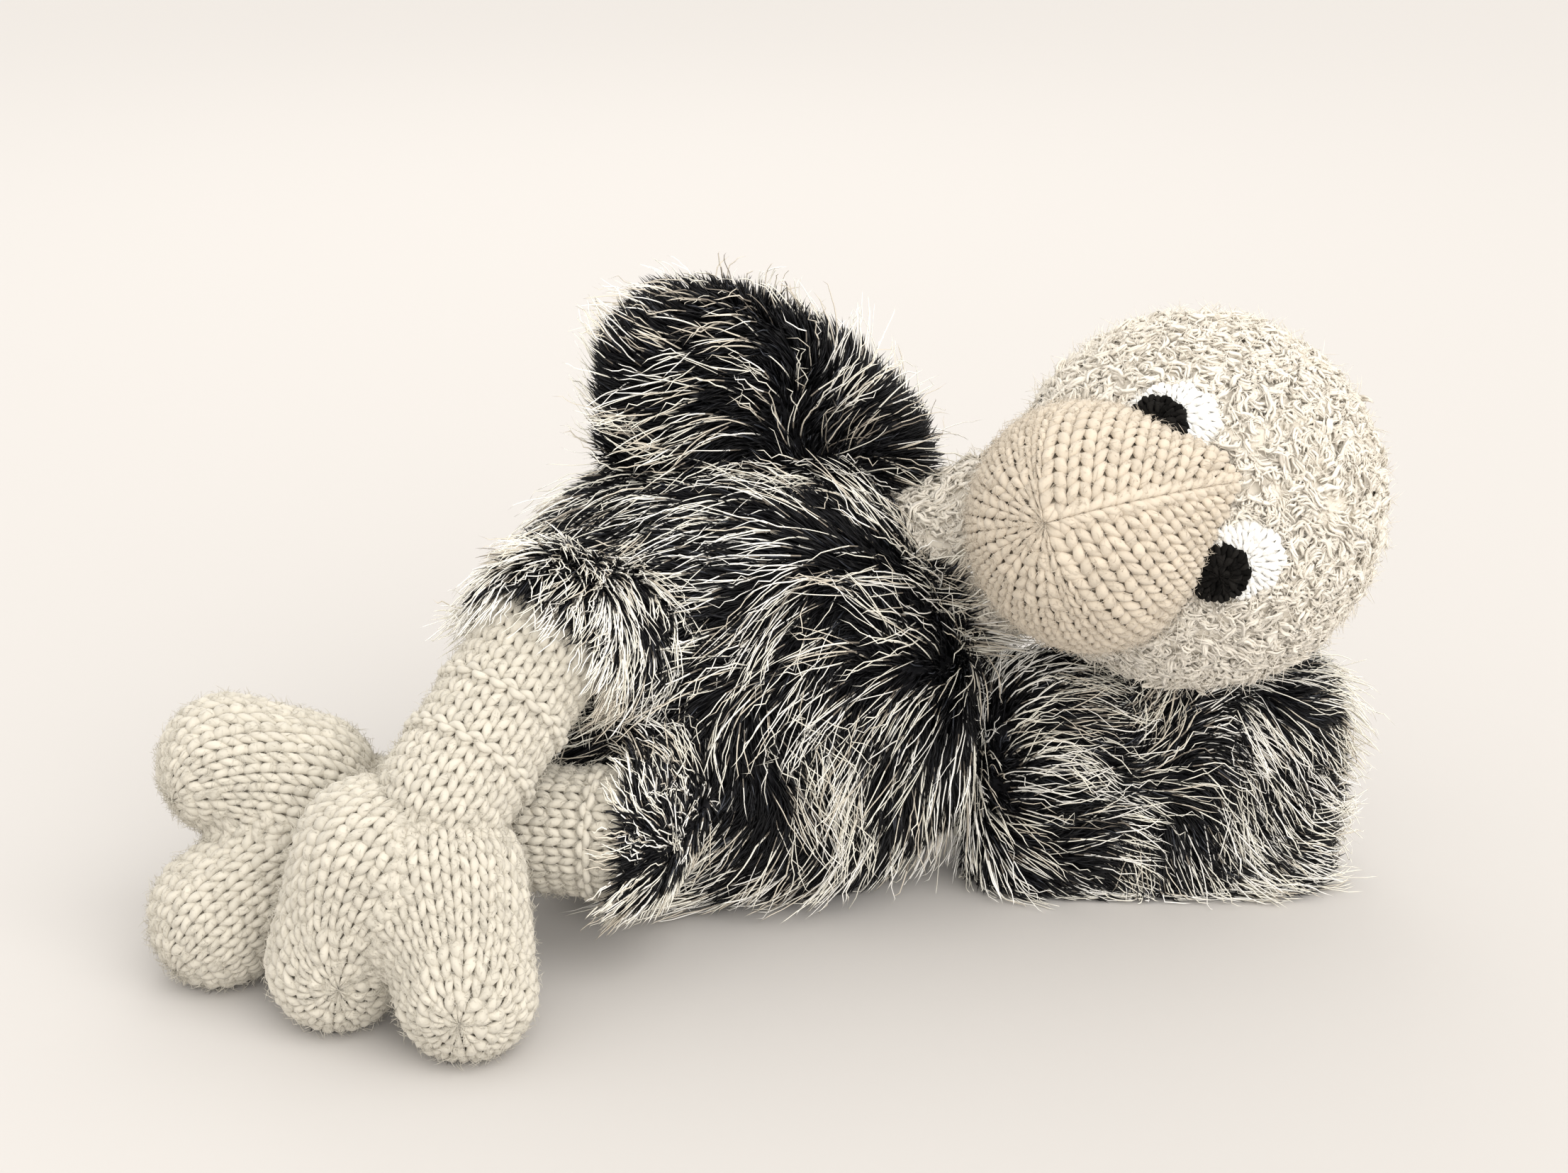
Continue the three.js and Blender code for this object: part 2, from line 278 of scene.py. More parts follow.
def mesh_object(name, points, faces, materials, which=None):
    """A smooth mesh from layout millimetres. which gives each face's material."""
    mesh = bpy.data.meshes.new(name)
    points = to_row(points).astype(np.float32)
    points[:, 2] = np.maximum(points[:, 2], LOWEST)
    corners = faces.shape[1]
    mesh.vertices.add(len(points))
    mesh.vertices.foreach_set("co", points.ravel())
    mesh.loops.add(faces.size)
    mesh.loops.foreach_set("vertex_index", faces.astype(np.int32).ravel())
    mesh.polygons.add(len(faces))
    mesh.polygons.foreach_set("loop_start", np.arange(0, faces.size, corners, dtype=np.int32))
    for made in materials:
        mesh.materials.append(made)
    if which is not None:
        mesh.polygons.foreach_set("material_index", np.asarray(which, np.int32))
    mesh.polygons.foreach_set("use_smooth", np.ones(len(faces), bool))
    mesh.update(calc_edges=True)
    return linked(name, mesh)


def welded(made, distance=2e-5):
    """The same mesh with its doubled points joined and its faces pointing outwards."""
    shape = bmesh.new()
    shape.from_mesh(made.data)
    bmesh.ops.remove_doubles(shape, verts=shape.verts, dist=distance)
    bmesh.ops.recalc_face_normals(shape, faces=shape.faces)
    shape.to_mesh(made.data)
    shape.free()
    return made


def noise3(points, seed):
    """Smooth noise from -1 to 1 at each point, with a lattice of one unit."""
    base = np.floor(points).astype(np.int64)
    part = points - base
    part = part * part * (3 - 2 * part)
    total = np.zeros(len(points))
    for corner in range(8):
        step = np.array([corner & 1, corner >> 1 & 1, corner >> 2 & 1])
        cell = base + step
        mixed = (cell[:, 0] * 73856093) ^ (cell[:, 1] * 19349663) ^ (cell[:, 2] * 83492791)
        mixed = mixed ^ (seed * 2654435761)
        mixed = (mixed ^ (mixed >> 13)) * 1274126177 & 0x7FFFFFFF
        value = (mixed % 10007) / 5003.0 - 1
        share = np.prod(np.where(step == 1, part, 1 - part), axis=1)
        total += value * share
    return total


# ---- strands
def tubes(lines, radius):
    """Closed three-sided tubes along lines (n, k, 3) that end in a point, with a radius (n, k).

    Returns points, faces, and the ring and the strand that each face is of."""
    n, k, _ = lines.shape
    along = unit(np.gradient(lines, axis=1))
    ref = unit(np.cross(along[:, :1], [0.3, 0.5, 0.81]) + 1e-6)
    across = unit(np.cross(along, np.broadcast_to(np.cross(ref, along[:, :1]), along.shape)))
    up = np.cross(across, along)
    angle = np.arange(3) * TAU / 3
    ring = (np.cos(angle)[None, None, :, None] * across[:, :-1, None]
            + np.sin(angle)[None, None, :, None] * up[:, :-1, None])
    rings = lines[:, :-1, None] + ring * radius[:, :-1, None, None]
    points = np.concatenate([rings.reshape(n, -1, 3), lines[:, -1:]], axis=1)
    last, tip = 3 * (k - 2), 3 * (k - 1)
    faces = walls(k - 1, 3) + [(last + a, last + (a + 1) % 3, tip) for a in range(3)] + [(0, 2, 1)]
    row = np.append(np.repeat(np.arange(k - 2), 6), [k - 2] * 3 + [0])
    every, strand = repeated(np.array(faces), n, points.shape[1])
    return points.reshape(-1, 3), every, np.tile(row, n), strand


def strand_pieces(name, lines, radius, materials, choose):
    """Strands as one piece or more. choose(ring, strand) gives each face's material."""
    faces_each = 6 * (lines.shape[1] - 2) + 4
    room = MOST_FACES // faces_each
    made = []
    for part, start in enumerate(range(0, len(lines), room)):
        some = slice(start, start + room)
        points, faces, ring, strand = tubes(lines[some], radius[some])
        made.append(mesh_object(f"{name}_{part + 1}", points, faces, materials, choose(ring, strand + start)))
    return made


def grow(root, normal, flow, length, lift, curl, steps, sag=0.0):
    """Lines that leave root along flow, lifted from the surface by lift[0] and then lift[1] radians."""
    side = np.cross(normal, flow)
    at, lines = root.copy(), [root]
    for i in range(steps):
        t = (i + 0.5) / steps
        rise = (lift[0] + (lift[1] - lift[0]) * t ** 0.6)[:, None]
        turn = (curl * t)[:, None]
        step = np.cos(rise) * (np.cos(turn) * flow + np.sin(turn) * side) + np.sin(rise) * normal
        step = step - np.array([0, 0, 1]) * sag * t
        at = at + unit(step) * (length / steps)[:, None]
        lines.append(at)
    return np.stack(lines, axis=1)


def gather_tips(lines, rng, size, share):
    """Draws the strands that start near each other together towards their tips, as locks."""
    root = lines[:, 0]
    cell = np.floor(root / size + noise3(root / (size * 1.7), 5)[:, None] * 0.7).astype(np.int64)
    key = (cell[:, 0] * 92821 + cell[:, 1] * 68917 + cell[:, 2] * 28411) & 0xFFFFF
    _, group = np.unique(key, return_inverse=True)
    group = group.ravel()
    count = np.bincount(group)
    steps = lines.shape[1]
    t = np.linspace(0, 1, steps) ** 1.4
    for i in range(1, steps):
        mean = np.stack([np.bincount(group, lines[:, i, a]) / count for a in range(3)], axis=1)[group]
        pull = (share * t[i] * rng.uniform(0.5, 1.0, len(lines)))[:, None]
        lines[:, i] += (mean - lines[:, i]) * pull
    return lines, group


# ---- knitting
class Fabric:
    """A knitted surface. Its lines follow the columns of stitches, starting where they are drawn together."""

    def __init__(self, lines, columns, inside):
        self.columns, self.per = columns, len(lines) / columns
        self.size = lines.shape[1]
        gaps = norm(np.diff(lines, axis=1), axis=2)
        run = np.concatenate([np.zeros((len(lines), 1)), np.cumsum(gaps, axis=1)], axis=1)
        self.length = run[:, -1]
        share = np.linspace(0, 1, self.size)
        self.points = np.stack([resampled(line, at, share * at[-1]) for line, at in zip(lines, run)])
        self.shape_normals(inside)

    def shape_normals(self, inside):
        """And each point's column width. A column too thin to tell has normals away from inside."""
        around = np.roll(self.points, -1, axis=0) - np.roll(self.points, 1, axis=0)
        self.width = norm(around, axis=2) / 2 * self.per
        normals = unit(np.cross(around, np.gradient(self.points, axis=1)))
        out = unit(self.points - inside)
        normals *= np.sign(np.sum(normals * out, axis=(0, 1, 2)) or 1)
        weak = (self.width < 0.25) | (np.sum(normals * out, axis=2) < 0.05)
        normals[weak] = out[weak]
        for end in (0, -1):
            normals[:, end] = unit(normals[:, 1 if end == 0 else -2].mean(axis=0))
        self.normals = normals

    def read(self, table, u, s):
        """A table's values at column u, s mm along it."""
        a = (u * self.per) % len(self.points)
        i = np.floor(a).astype(int) % len(self.points)
        j, fa = (i + 1) % len(self.points), a - np.floor(a)
        length = self.length[i] * (1 - fa) + self.length[j] * fa
        b = np.clip(s / length, 0, 1) * (self.size - 1)
        k = np.minimum(np.floor(b).astype(int), self.size - 2)
        fb = b - k
        if table.ndim == 3:
            fa, fb = fa[..., None], fb[..., None]
        low = table[i, k] * (1 - fb) + table[i, k + 1] * fb
        high = table[j, k] * (1 - fb) + table[j, k + 1] * fb
        return low * (1 - fa) + high * fa

    def at(self, u, s, height=0.0):
        """Points at column u, s mm along it and height above the surface."""
        u, s = np.broadcast_arrays(np.asarray(u, float), np.asarray(s, float))
        lift = np.broadcast_to(np.asarray(height, float), u.shape)[..., None]
        return self.read(self.points, u, s) + lift * unit(self.read(self.normals, u, s))

    def long_at(self, u):
        a = int(u * self.per) % len(self.points)
        return self.length[a]

    def ground(self, name, made_of, sink):
        n, m = self.points.shape[:2]
        points = (self.points - sink * self.normals).reshape(-1, 3)
        faces = np.stack(grid_corners(n, m, n), axis=-1).reshape(-1, 4)
        return welded(mesh_object(name, points, faces, [made_of]))


def turned(start, along, profile, columns, per, inside):
    """A fabric round an axis, with per lines to a column. Its profile says how far along and how far out."""
    ring = ring_across(along, full_turn(columns * per))[:, None]
    return Fabric(start + profile[:, :1] * along + profile[:, 1:] * ring, columns, inside)


def stitch_places(fabric, row, keep, narrowest):
    """(u, s, columns spanned, width, row height) of each stitch. Columns merge where they become narrow."""
    per_column = fabric.width.reshape(fabric.columns, -1, fabric.size).mean(axis=1)

    def group_at(k, share):
        """How many columns are merged where column k is, and their widths."""
        widths = per_column[:, int(round(np.clip(share, 0, 1) * (fabric.size - 1)))]
        span = 4
        while span > 1 and widths[k - k % span:][:span].mean() * span / 2 >= narrowest:
            span //= 2
        return span, widths[k - k % span:][:span]

    found = []
    for k in range(fabric.columns):
        length = fabric.long_at(k + 0.5)
        rows = max(int(round(length / row)), 1)
        for j in range(rows):
            share = (j + 0.5) / rows
            span, group = group_at(k, share)
            for step in (-1, 1):  # a column that has just been merged runs on under the merged stitch
                fewer, part = group_at(k, share + step / rows)
                if k % span and k % fewer == 0:
                    span, group = fewer, part
            if k % span == 0 and group.sum() > 0.9:  # less is only a speck at the gather
                found.append((k + len(group) / 2, share * length, len(group), group.sum(), length / rows))
    found = np.array(found)
    return found if keep is None else found[keep(fabric.at(found[:, 0], found[:, 1]))]


def template(x, y, height, wide):
    """A tube of yarn to lay: x in stitch widths, y in rows, height in mm, and height in stitch widths."""
    parts = np.broadcast_arrays(x, y, height, wide)
    rings, sides = parts[0].shape
    faces, top = walls(rings, sides), (rings - 1) * sides
    for a in range(1, sides - 1):
        faces += [(0, a + 1, a), (top, top + a, top + a + 1)]
    return [part.ravel() for part in parts], np.array(faces)


def lobe(side):
    """One leg of a V. Its outer end is sunk, which leaves a gutter between one column and the next."""
    t = np.linspace(0, 1, 8)[:, None]
    angle = np.arange(8)[None] * TAU / 8
    body = np.sin(np.pi * (0.05 + 0.9 * t)) ** 0.5
    ply = 1 + 0.10 * np.cos(3 * (angle - side * 3.4 * t))
    fat = 0.25 * body * ply
    x = side * (0.42 - 0.30 * t) + fat * np.cos(angle)
    y = -(t - 0.5) * 1.62
    height = -1.2 + 1.6 * np.sin(np.pi * (0.04 + 0.92 * t)) ** 0.7 - 1.1 * (1 - t) ** 1.5
    return template(x, y, height, 0.9 * fat * np.sin(angle))


def purl(up):
    """One raised bar of a purl ridge, lying across its column on top of the plain stitches."""
    t = np.linspace(0, 1, 7)[:, None]
    angle = np.arange(7)[None] * TAU / 7
    fat = 0.19 * np.sin(np.pi * (0.06 + 0.88 * t)) ** 0.6
    x = (t - 0.5) * 1.12 + 0.5 * (up > 0)
    y = 0.12 * up + up * 0.26 * (np.sin(np.pi * t) - 0.5) + 1.4 * fat * np.cos(angle)
    height = 0.1 + 1.15 * np.sin(np.pi * t)
    return template(x, y, height, fat * np.sin(angle))


def lay(fabric, places, shape, rng):
    """One template at every place: points, faces, and the place that each face is of."""
    (x, y, height, wide), faces = shape
    u = places[:, 0:1] + x * places[:, 2:3]
    s = places[:, 1:2] + y * places[:, 4:5]
    thickest, usual = 5.2, 4.2  # a wide stitch gets no fatter, and a narrow one is flatter
    thick = np.minimum(places[:, 3:4], thickest)
    lift = height * np.minimum(thick / usual, 1) + wide * thick + rng.normal(0, 0.10, (len(places), 1))
    points = fabric.at(u, s, lift)
    return points.reshape(-1, 3), *repeated(faces, len(places), len(x))


def joined(parts):
    """Several results of lay() as one."""
    points, faces, owner, start, first = [], [], [], 0, 0
    for some_points, some_faces, some_owner in parts:
        points.append(some_points)
        faces.append(some_faces + start)
        owner.append(some_owner + first)
        start += len(some_points)
        first += int(some_owner.max()) + 1 if len(some_owner) else 0
    return np.concatenate(points), np.concatenate(faces), np.concatenate(owner)


def knit(name, fabric, yarn, seed, keep=None, ridges=(), row=KNIT_ROW, narrowest=KNIT_NARROWEST):
    """The stitches of a fabric as one piece, with a raised purl ridge round it at each of ridges."""
    rng = np.random.default_rng(seed)
    places = stitch_places(fabric, row, keep, narrowest)
    in_ridge = np.zeros(len(places), bool)
    for ridge in ridges:
        in_ridge |= np.abs(places[:, 1] - ridge) < places[:, 4] * 0.5
    parts = [lay(fabric, places, lobe(side), rng) for side in (-1, 1)]
    if in_ridge.any():
        parts += [lay(fabric, places[in_ridge], purl(up), rng) for up in (-1, 1)]
    points, faces, owner = joined(parts)
    tone = rng.choice(len(yarn), owner.max() + 1, p=tone_shares(len(yarn)))
    return welded(mesh_object(name, points, faces, yarn, tone[owner]), 1e-7), places


def tone_shares(count):
    weights = np.array([1.0, 2.0, 3.0, 1.4, 0.8])[:count]
    return weights / weights.sum()


def fuzz(name, fabric, places, yarn, seed, each=8, longest=4.2):
    """The fine hairs that stand off a yarn."""
    rng = np.random.default_rng(seed)
    some = np.repeat(places, each, axis=0)
    n = len(some)
    u = some[:, 0] + rng.uniform(-0.5, 0.5, n) * some[:, 2]
    s = some[:, 1] + rng.uniform(-0.5, 0.5, n) * some[:, 4]
    root = fabric.at(u, s, 0.6)
    normal = unit(fabric.at(u, s, 1.6) - root)
    flow = unit(np.cross(normal, rng.normal(size=(n, 3))))
    length = rng.uniform(0.4, 1.0, n) * longest
    lift = (rng.uniform(0.4, 1.3, n), rng.uniform(-0.1, 0.6, n))
    lines = grow(root, normal, flow, length, lift, rng.uniform(-1.5, 1.5, n), 3)
    radius = np.full((n, 4), 0.06)
    return strand_pieces(name, lines, radius, yarn, lambda ring, strand: np.full(len(ring), 2))


# ---- beak
def beak_point(direction):
    """Where a ray from the beak's middle meets its egg."""
    along = direction @ BEAK_AXIS
    across = np.sqrt(np.maximum(1 - along ** 2, 0))
    reach = 1 / np.sqrt((along / BEAK_LONG) ** 2 + (across / BEAK_WIDE) ** 2)
    return BEAK_AT + direction * reach[..., None]


def turn_round_beak(direction):
    return np.arctan2(direction @ BEAK_SIDE, direction @ APEX_ACROSS)


def rim_angle(turn):
    """How far from the beak's axis its edge lies, in radians, by the turn round the axis from the point."""
    point = 10.5 * np.exp(-(turn / np.radians(21)) ** 2)
    back = 4.5 * np.clip((np.abs(turn) - np.radians(70)) / np.radians(50), 0, 1)
    return np.radians(34.5 + point + back)


def beak_fabric():
    """The beak's knitting as columns that all start at the gather, and as columns that leave its ridge."""
    pole = unit(GATHER - BEAK_AT)
    first = unit(APEX - (APEX @ pole) * pole)
    second = np.cross(pole, first)
    columns, per, steps = 36, 6, 60
    turns = full_turn(columns * per) - np.pi
    lines = []
    for turn in turns:
        sweep = np.linspace(0, np.radians(165), 240)[:, None]
        ray = np.cos(sweep) * pole + np.sin(sweep) * (np.cos(turn) * first + np.sin(turn) * second)
        line = beak_point(ray)
        outside = norm(line - HEAD_AT, axis=1) > HEAD_R + 0.6
        line = line[:max(int(np.argmin(outside)) if not outside.all() else len(line), 4)]
        end = unit(line[-1] - HEAD_AT)
        round_axis = turn_round_beak(end)
        angle = rim_angle(round_axis)
        rim = HEAD_AT + (HEAD_R + 1.0) * (np.cos(angle) * BEAK_AXIS + np.sin(angle) * (
            np.cos(round_axis) * APEX_ACROSS + np.sin(round_axis) * BEAK_SIDE))
        share = np.clip((np.linspace(0, 1, len(line)) - 0.45) / 0.55, 0, 1)[:, None]
        line = line + share ** 2 * (3 - 2 * share) * (rim - line[-1])
        pick = np.linspace(0, len(line) - 1, steps)
        lines.append(resampled(line, np.arange(len(line)), pick))
    polar = Fabric(np.array(lines), columns, BEAK_AT)
    # Towards the point, the columns start along a ridge instead of at the gather, as a leaf's veins do.
    ridge = polar.length[len(turns) // 2]
    veins = []
    for index, turn in enumerate(turns):
        start = 0.86 * ridge * max(0, 1 - abs(turn) / np.radians(85))
        rim = polar.length[index] * np.array([np.cos(turn), np.sin(turn)])
        t = np.linspace(0, 1, steps)[:, None]
        flat = np.array([start, 0]) * (1 - t) + rim * t
        bearing = np.arctan2(flat[:, 1], flat[:, 0])
        u = (bearing + np.pi) / TAU * columns
        far = norm(flat, axis=1)
        veins.append(polar.at(u, far))
    return polar, Fabric(np.array(veins), columns, BEAK_AT)


def make_beak():
    polar, veins = beak_fabric()
    ground = polar.ground("beak_shaded_ground", BEAK_SHADED_GROUND, 0.9)
    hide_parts("beak_cover", "beak_filling")
    stitches, places = knit("beak_stitches", veins, BEAK_YARN, 11)
    # The raised chain of decreases along the ridge, as places for stitches.
    rows = np.arange(2.2, polar.length[len(polar.length) // 2] * 0.97, KNIT_ROW * 0.9)
    column = np.full(len(rows), polar.columns / 2)
    wide = polar.read(polar.width, column, rows)
    chain = np.stack([column, rows, CHAIN_WIDE / np.maximum(wide, 0.5),
                      np.full(len(rows), CHAIN_WIDE), np.full(len(rows), KNIT_ROW)], axis=1)
    rng = np.random.default_rng(12)
    points, faces, _ = joined([lay(polar, chain, lobe(side), rng) for side in (-1, 1)])
    points = points + unit(points.mean(axis=0) - BEAK_AT) * 0.5
    ridge = mesh_object("beak_ridge", points, faces, BEAK_YARN, np.full(len(faces), 2))
    hairs = fuzz("beak_fuzz", veins, places, BEAK_YARN, 13)
    for piece in (ground, stitches, ridge, *hairs):
        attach(piece, "head")


# ---- head, neck and eyes
HEAD_TUFTS, NECK_TUFTS = 6400, 1500


def loops(name, root, normal, seed):
    """Tufts of fleece: each is a few fine wavy strands that start together and curl the same way."""
    longest, each, steps = 6.5, 4, 6
    rng = np.random.default_rng(seed)
    n = len(root)
    drift = np.stack([noise3(root / 9, seed + i) for i in range(3)], axis=1) + rng.normal(0, 0.35, (n, 3))
    flow = unit(np.cross(normal, drift))
    pick = np.repeat(np.arange(n), each)
    m = len(pick)
    out = normal[pick]
    lean = flow[pick] + rng.normal(0, 0.08, (m, 3))
    lean = unit(lean - np.sum(lean * out, axis=1, keepdims=True) * out)
    long = rng.uniform(0.5, 1.0, n) * longest * (1 + 0.4 * (rng.uniform(size=n) < 0.1))
    lift = (rng.uniform(0.25, 1.0, n)[pick] + rng.normal(0, 0.06, m),
            rng.uniform(-0.9, 0.35, n)[pick] + rng.normal(0, 0.06, m))
    curl = rng.normal(0, 1.5, n)[pick] + rng.normal(0, 0.12, m)
    start = root[pick] + rng.normal(0, 0.55, (m, 3))
    lines = grow(start, out, lean, long[pick] * rng.uniform(0.8, 1.05, m), lift, curl, steps)
    tufts = lines.reshape(n, each, steps + 1, 3)
    pull = (0.65 * np.linspace(0, 1, steps + 1) ** 1.5)[None, None, :, None]
    lines = (tufts * (1 - pull) + tufts.mean(axis=1, keepdims=True) * pull).reshape(m, steps + 1, 3)
    phase = rng.uniform(0, TAU, (n, 1))[pick] + rng.normal(0, 0.2, (m, 1))
    wave = np.sin(np.linspace(0, 1.4 * TAU, steps + 1)[None] + phase) * rng.uniform(0.2, 0.55, (n, 1))[pick]
    lines += np.cross(out, lean)[:, None] * wave[..., None]
    radius = rng.uniform(0.36, 0.56, (m, 1)) * np.array([0.7, 1, 1.1, 1, 0.8, 0.5, 0.1])[None]
    tone = rng.choice(5, n, p=tone_shares(5))[pick]
    pieces = strand_pieces(name, lines, radius, HEAD_YARN, lambda ring, strand: tone[strand])
    flow = unit(np.cross(normal, rng.normal(size=(n, 3))))
    lift = (rng.uniform(0.4, 1.3, n), rng.uniform(-0.2, 0.9, n))
    fine = grow(root, normal, flow, rng.uniform(3, 8, n), lift, rng.normal(0, 1.2, n), 4)
    thin = np.full((n, 5), 0.09)
    return pieces + strand_pieces(name + "_hairs", fine, thin, HEAD_YARN, lambda ring, strand: 2 + strand % 3)


def ball_directions(n):
    """Directions spread evenly all round, along a spiral."""
    i = np.arange(n) + 0.5
    z = 1 - 2 * i / n
    turn = i * np.pi * (1 + 5 ** 0.5)
    flat = np.sqrt(1 - z * z)
    return np.stack([flat * np.cos(turn), flat * np.sin(turn), z], axis=1)


def bare_of_beak(direction):
    """True where the head isn't covered by the beak."""
    off = np.arccos(np.clip(direction @ BEAK_AXIS, -1, 1))
    return off > rim_angle(turn_round_beak(direction)) - np.radians(1.5)


def eye_axes(direction):
    out = unit(direction)
    across = unit(np.cross([0, 0, 1], out))
    return out, across, np.cross(out, across)


def in_oval(direction, centre, half, grow_by):
    """True where a direction from the head's centre meets an eye's oval, grown by grow_by."""
    out, across, up = eye_axes(centre)
    front = direction @ out
    x, y = direction @ across * HEAD_R, direction @ up * HEAD_R
    return (front > 0) & ((x / (half[0] + grow_by)) ** 2 + (y / (half[1] + grow_by)) ** 2 < 1)


def make_head():
    rng = np.random.default_rng(21)
    grid = ball_directions(HEAD_TUFTS)
    shape = bmesh.new()
    bmesh.ops.create_icosphere(shape, subdivisions=6, radius=1)
    points, faces = arrays_of(shape)
    swell = HEAD_R - 0.8 + 0.9 * noise3(points * 11, 3)
    ground = mesh_object("head_ground", HEAD_AT + points * swell[:, None], faces, [HEAD_GROUND])
    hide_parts("head_cover", "head_filling")
    keep = bare_of_beak(grid)
    for eye in EYES.values():
        keep &= ~in_oval(grid, eye["white"], WHITE_HALF, -0.8)
    grid = unit(grid[keep] + rng.normal(0, 0.012, (keep.sum(), 3)))
    tufts = loops("head_loops", HEAD_AT + grid * (HEAD_R - 0.4), grid, 22)
    for piece in (ground, *tufts):
        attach(piece, "head")


def make_neck():
    rng = np.random.default_rng(31)
    along = unit(HEAD_AT - NECK_AT)
    reach = norm(HEAD_AT - NECK_AT) - 30  # ends inside the head
    columns = 26
    sweep = np.linspace(0, np.pi / 2, 12)
    run = np.linspace(1, reach, 30)
    flare = 11 * np.clip((run / reach - 0.2) / 0.8, 0, 1) ** 1.6  # where it meets the head
    profile = np.concatenate([np.stack([-np.cos(sweep), np.sin(sweep)], axis=1) * NECK_R,
                              np.stack([run, NECK_R + flare], axis=1)])
    tube = turned(NECK_AT, along, profile, columns, 4, NECK_AT + along * reach / 2)
    ground = tube.ground("neck_ground", HEAD_GROUND, 0.8)
    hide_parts("neck_cover", "neck_filling")
    u = rng.uniform(0, columns, NECK_TUFTS)
    s = rng.uniform(NECK_R * 1.1, tube.long_at(0) - 1, NECK_TUFTS)
    root = tube.at(u, s, -0.4)
    normal = unit(tube.at(u, s, 0.6) - root)
    for piece in (ground, *loops("neck_loops", root, normal, 32)):
        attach(piece, "neck")


def eye_fabric(centre, half, columns, height):
    """A crocheted disc on the head, with a scalloped edge that curls down."""
    out, across, up = eye_axes(centre)
    turns = full_turn(columns * 6)
    t = np.linspace(0, 1, 30)
    lines = []
    for turn in turns:
        edge = t * (1 + 0.05 * t * np.cos(SCALLOPS * turn))
        x, y = edge * half[0] * np.cos(turn), edge * half[1] * np.sin(turn)
        ray = unit(out + (x[:, None] * across + y[:, None] * up) / HEAD_R)
        drop = 1.3 * np.clip((t - 0.75) / 0.25, 0, 1) ** 2
        lines.append(HEAD_AT + ray * (HEAD_R + height - drop)[:, None])
    return Fabric(np.array(lines), columns, HEAD_AT)


def make_eyes():
    for seed, (side, eye) in enumerate(EYES.items()):
        for tone, part, half, columns, height, row, yarn, made_of in (
                ("white", "white", WHITE_HALF, 20, 1.9, 3.0, WHITE_YARN, WHITE_GROUND),
                ("black", "pupil", BLACK_HALF, 14, 4.3, 2.5, BLACK_YARN, BLACK_GROUND)):
            fabric = eye_fabric(eye[tone], half, columns, height)
            ground = fabric.ground(f"eye_{part}_{side}_ground", made_of, 0.7)
            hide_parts(f"eye_{part}_{side}")
            crochet, places = knit(f"eye_{part}_{side}_crochet", fabric, yarn, 41 + seed,
                                   row=row, narrowest=2.4)
            hairs = fuzz(f"eye_{part}_{side}_fuzz", fabric, places, yarn, 43 + seed, each=5, longest=1.8)
            for piece in (ground, crochet, *hairs):
                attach(piece, "head")


# ---- legs and feet
def far_from_tube(points, start, end, from_radius, to_radius):
    """Distance outside a tube with round ends, negative inside."""
    start, end = np.asarray(start, float), np.asarray(end, float)
    run = end - start
    t = np.clip((points - start) @ run / (run @ run), 0, 1)
    nearest = start + t[..., None] * run
    return norm(points - nearest, axis=-1) - (from_radius + t * (to_radius - from_radius))


def leg_fabric(hip, ankle, along, radius):
    """A tube with round ends, whose columns start at the foot's end."""
    reach = norm(hip - ankle)
    sweep = np.linspace(0, np.pi / 2, 14)
    foot_end = np.stack([-np.cos(sweep), np.sin(sweep)], axis=1) * radius
    straight = np.stack([np.linspace(0.5, reach - 0.5, 36), np.full(36, radius)], axis=1)
    body_end = np.stack([reach + np.sin(sweep) * radius, np.cos(sweep) * radius], axis=1)
    profile = np.concatenate([foot_end, straight, body_end])
    return turned(ankle, along, profile, 20, 6, (hip + ankle) / 2)


def run_together(a, b, fillet):
    """The union of two distances, with the valley between their shapes rounded."""
    share = np.clip(0.5 + 0.5 * (b - a) / fillet, 0, 1)
    return b * (1 - share) + a * share - fillet * share * (1 - share)


def foot_skin(leg):
    """The distances outside one toe, and outside the foot: two toes, joined part way by the instep."""
    insteps, toes = np.array(leg["insteps"], float), np.array(leg["toes"], float)
    start = insteps.mean(axis=0)
    end = start + leg["web"] * (toes.mean(axis=0) - start)
    sizes = (leg["instep_radius"], leg["toe_radius"])

    def toe(at, i):
        return far_from_tube(at, insteps[i], toes[i], *sizes)

    def skin(at):
        web = far_from_tube(at, start, end, leg["instep_radius"] - 1, leg["instep_radius"] - 2)
        return run_together(run_together(toe(at, 0), toe(at, 1), 5.0), web, 8.0)
    return toe, skin


def toe_fabric(instep, toe, own, skin, gather, ankle, furthest=7.0):
    """A toe whose columns run from where they are drawn together, over its whole bulb, to the ankle.

    The skin isn't followed where it is further than furthest from the toe's own form."""
    core = (instep + toe) / 2
    pole, far = unit(gather - core), unit(ankle - core)
    first = unit(far - (far @ pole) * pole)
    second = np.cross(pole, first)
    half = np.arccos(np.clip(far @ pole, -1, 1)) / 2
    pin = np.tan(half)  # with it, one pole of the columns is at the gather and the other at the ankle
    columns, per, steps = 20, 6, 70
    turns = full_turn(columns * per)
    sweep = np.tan(np.linspace(0.002, np.pi / 2 - 0.004, steps))[None]
    spread = sweep * np.exp(1j * turns)[:, None]
    moved = spread * pin / (pin + spread)
    tilt, bearing = 2 * np.arctan(np.abs(moved))[..., None], np.angle(moved)[..., None]
    ray = np.cos(tilt) * pole + np.sin(tilt) * (np.cos(bearing) * first + np.sin(bearing) * second)
    low, high = np.zeros(ray.shape[:2]), np.full(ray.shape[:2], 70.0)
    for _ in range(28):  # halves the range in which the skin lies
        reach = (low + high) / 2
        at = core + ray * reach[..., None]
        outside = (skin(at) > 0) | (own(at) > furthest)
        low, high = np.where(outside, low, reach), np.where(outside, reach, high)
    return Fabric(core + ray * low[..., None], columns, core)


